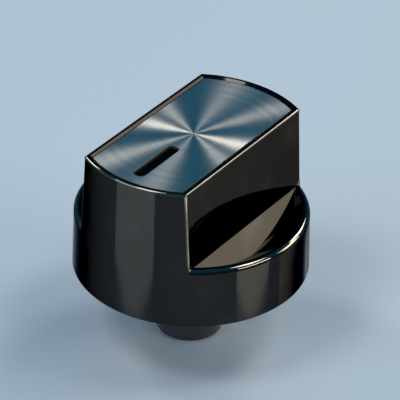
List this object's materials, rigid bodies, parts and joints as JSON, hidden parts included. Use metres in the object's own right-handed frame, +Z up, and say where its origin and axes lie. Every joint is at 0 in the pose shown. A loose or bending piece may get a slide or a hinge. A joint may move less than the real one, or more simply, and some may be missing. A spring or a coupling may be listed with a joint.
{
  "type": "stove knob",
  "caption": "Stove knob: a glossy black drum scooped on both sides of a full-width grip bar, with a spun metal plate, a pointer slot and a D-bored stem below.",
  "frame": {"origin": "centre of the stem's lower end, in the mouth of the shaft bore, on the surface the knob stands on", "axes": "+Z up along the valve shaft's axis towards the grip; the grip bar runs along Y with the pointer slot towards -Y; the flats and scoops face +X and -X"},
  "size_m": [0.048, 0.048, 0.046],
  "materials": {
    "knob_body": "die-cast zinc with a glossy black chrome plate",
    "face_plate": "spun in fine rings about the middle, clear lacquered",
    "stem": "moulded black nylon, matte",
    "spring_leaf": "bare spring steel"
  },
  "bodies": {
    "root": {"knob_body": "knob_body", "face_plate": "face_plate", "stem": "stem", "spring_leaf": "spring_leaf"}
  },
  "joints": []
}
